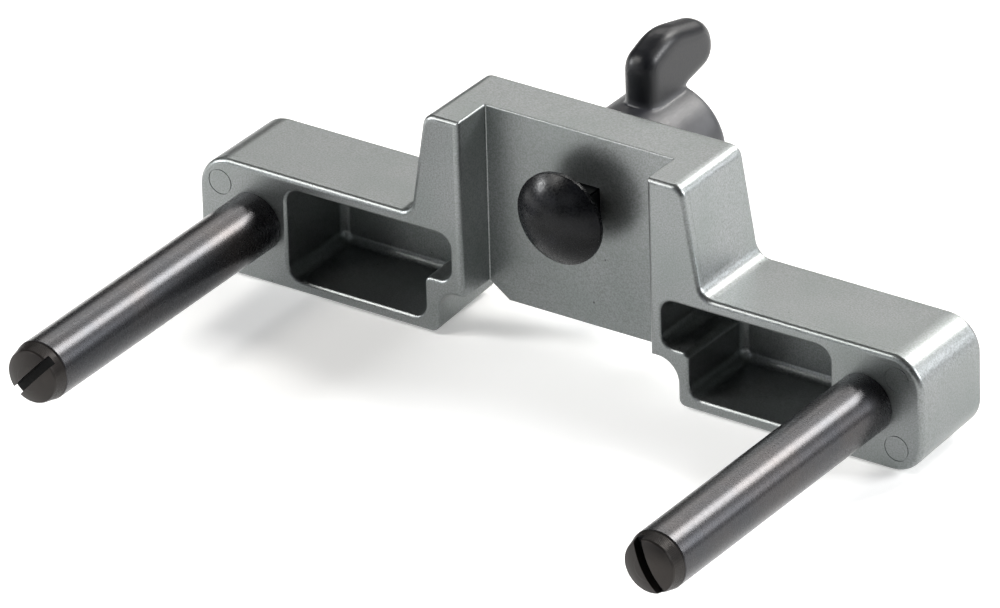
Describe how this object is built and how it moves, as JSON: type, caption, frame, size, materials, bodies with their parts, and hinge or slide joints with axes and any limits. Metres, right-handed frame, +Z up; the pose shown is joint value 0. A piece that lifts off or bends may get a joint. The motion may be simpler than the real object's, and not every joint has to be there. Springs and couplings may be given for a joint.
{
  "type": "dovetail jig",
  "caption": "Clamp-on dovetail jig guide: a cast yoke with two hollow arms, two slotted guide rods, and a carriage bolt drawn up by a wing knob.",
  "frame": {"origin": "on the bench plane under the middle of the bounding box", "axes": "+X along the length of the arms, +Z up, and the guide rods point towards -Y"},
  "size_m": [0.1276, 0.0977, 0.0435],
  "materials": {
    "silver_paint": "satin silver paint on a zinc die casting",
    "black_oxide_steel": "ground and black-oxided, oiled",
    "black_bolt": "black zinc on a cold-headed blank",
    "zinc_plate": "clear zinc plate",
    "black_nylon": "moulded, fine satin texture",
    "insert_brass": "turned"
  },
  "bodies": {
    "bracket": {"bracket_casting": "silver_paint", "left_guide_rod": "black_oxide_steel", "right_guide_rod": "black_oxide_steel"},
    "bolt": {"carriage_bolt": "black_bolt"},
    "washer": {"flat_washer": "zinc_plate"},
    "knob": {"wing_knob": "black_nylon", "knob_insert": "insert_brass"}
  },
  "joints": [
    {"name": "knob_turn", "type": "hinge", "parent": "bracket", "child": "knob", "pos_m": [0, 0.02728, 0.0244], "axis": [0, -1, 0], "range_deg": [-90, 1035]},
    {"name": "bolt_draw", "type": "slide", "parent": "bracket", "child": "bolt", "axis": [0, 1, 0], "range_m": [-0.00032, 0.00365]},
    {"name": "washer_turn", "type": "hinge", "parent": "bracket", "child": "washer", "pos_m": [0, 0.02538, 0.0244], "axis": [0, 1, 0], "continuous": true}
  ],
  "couplings": [
    {"joint": "knob_turn", "follows": "bolt_draw", "rad_per_m": 4947.4}
  ]
}
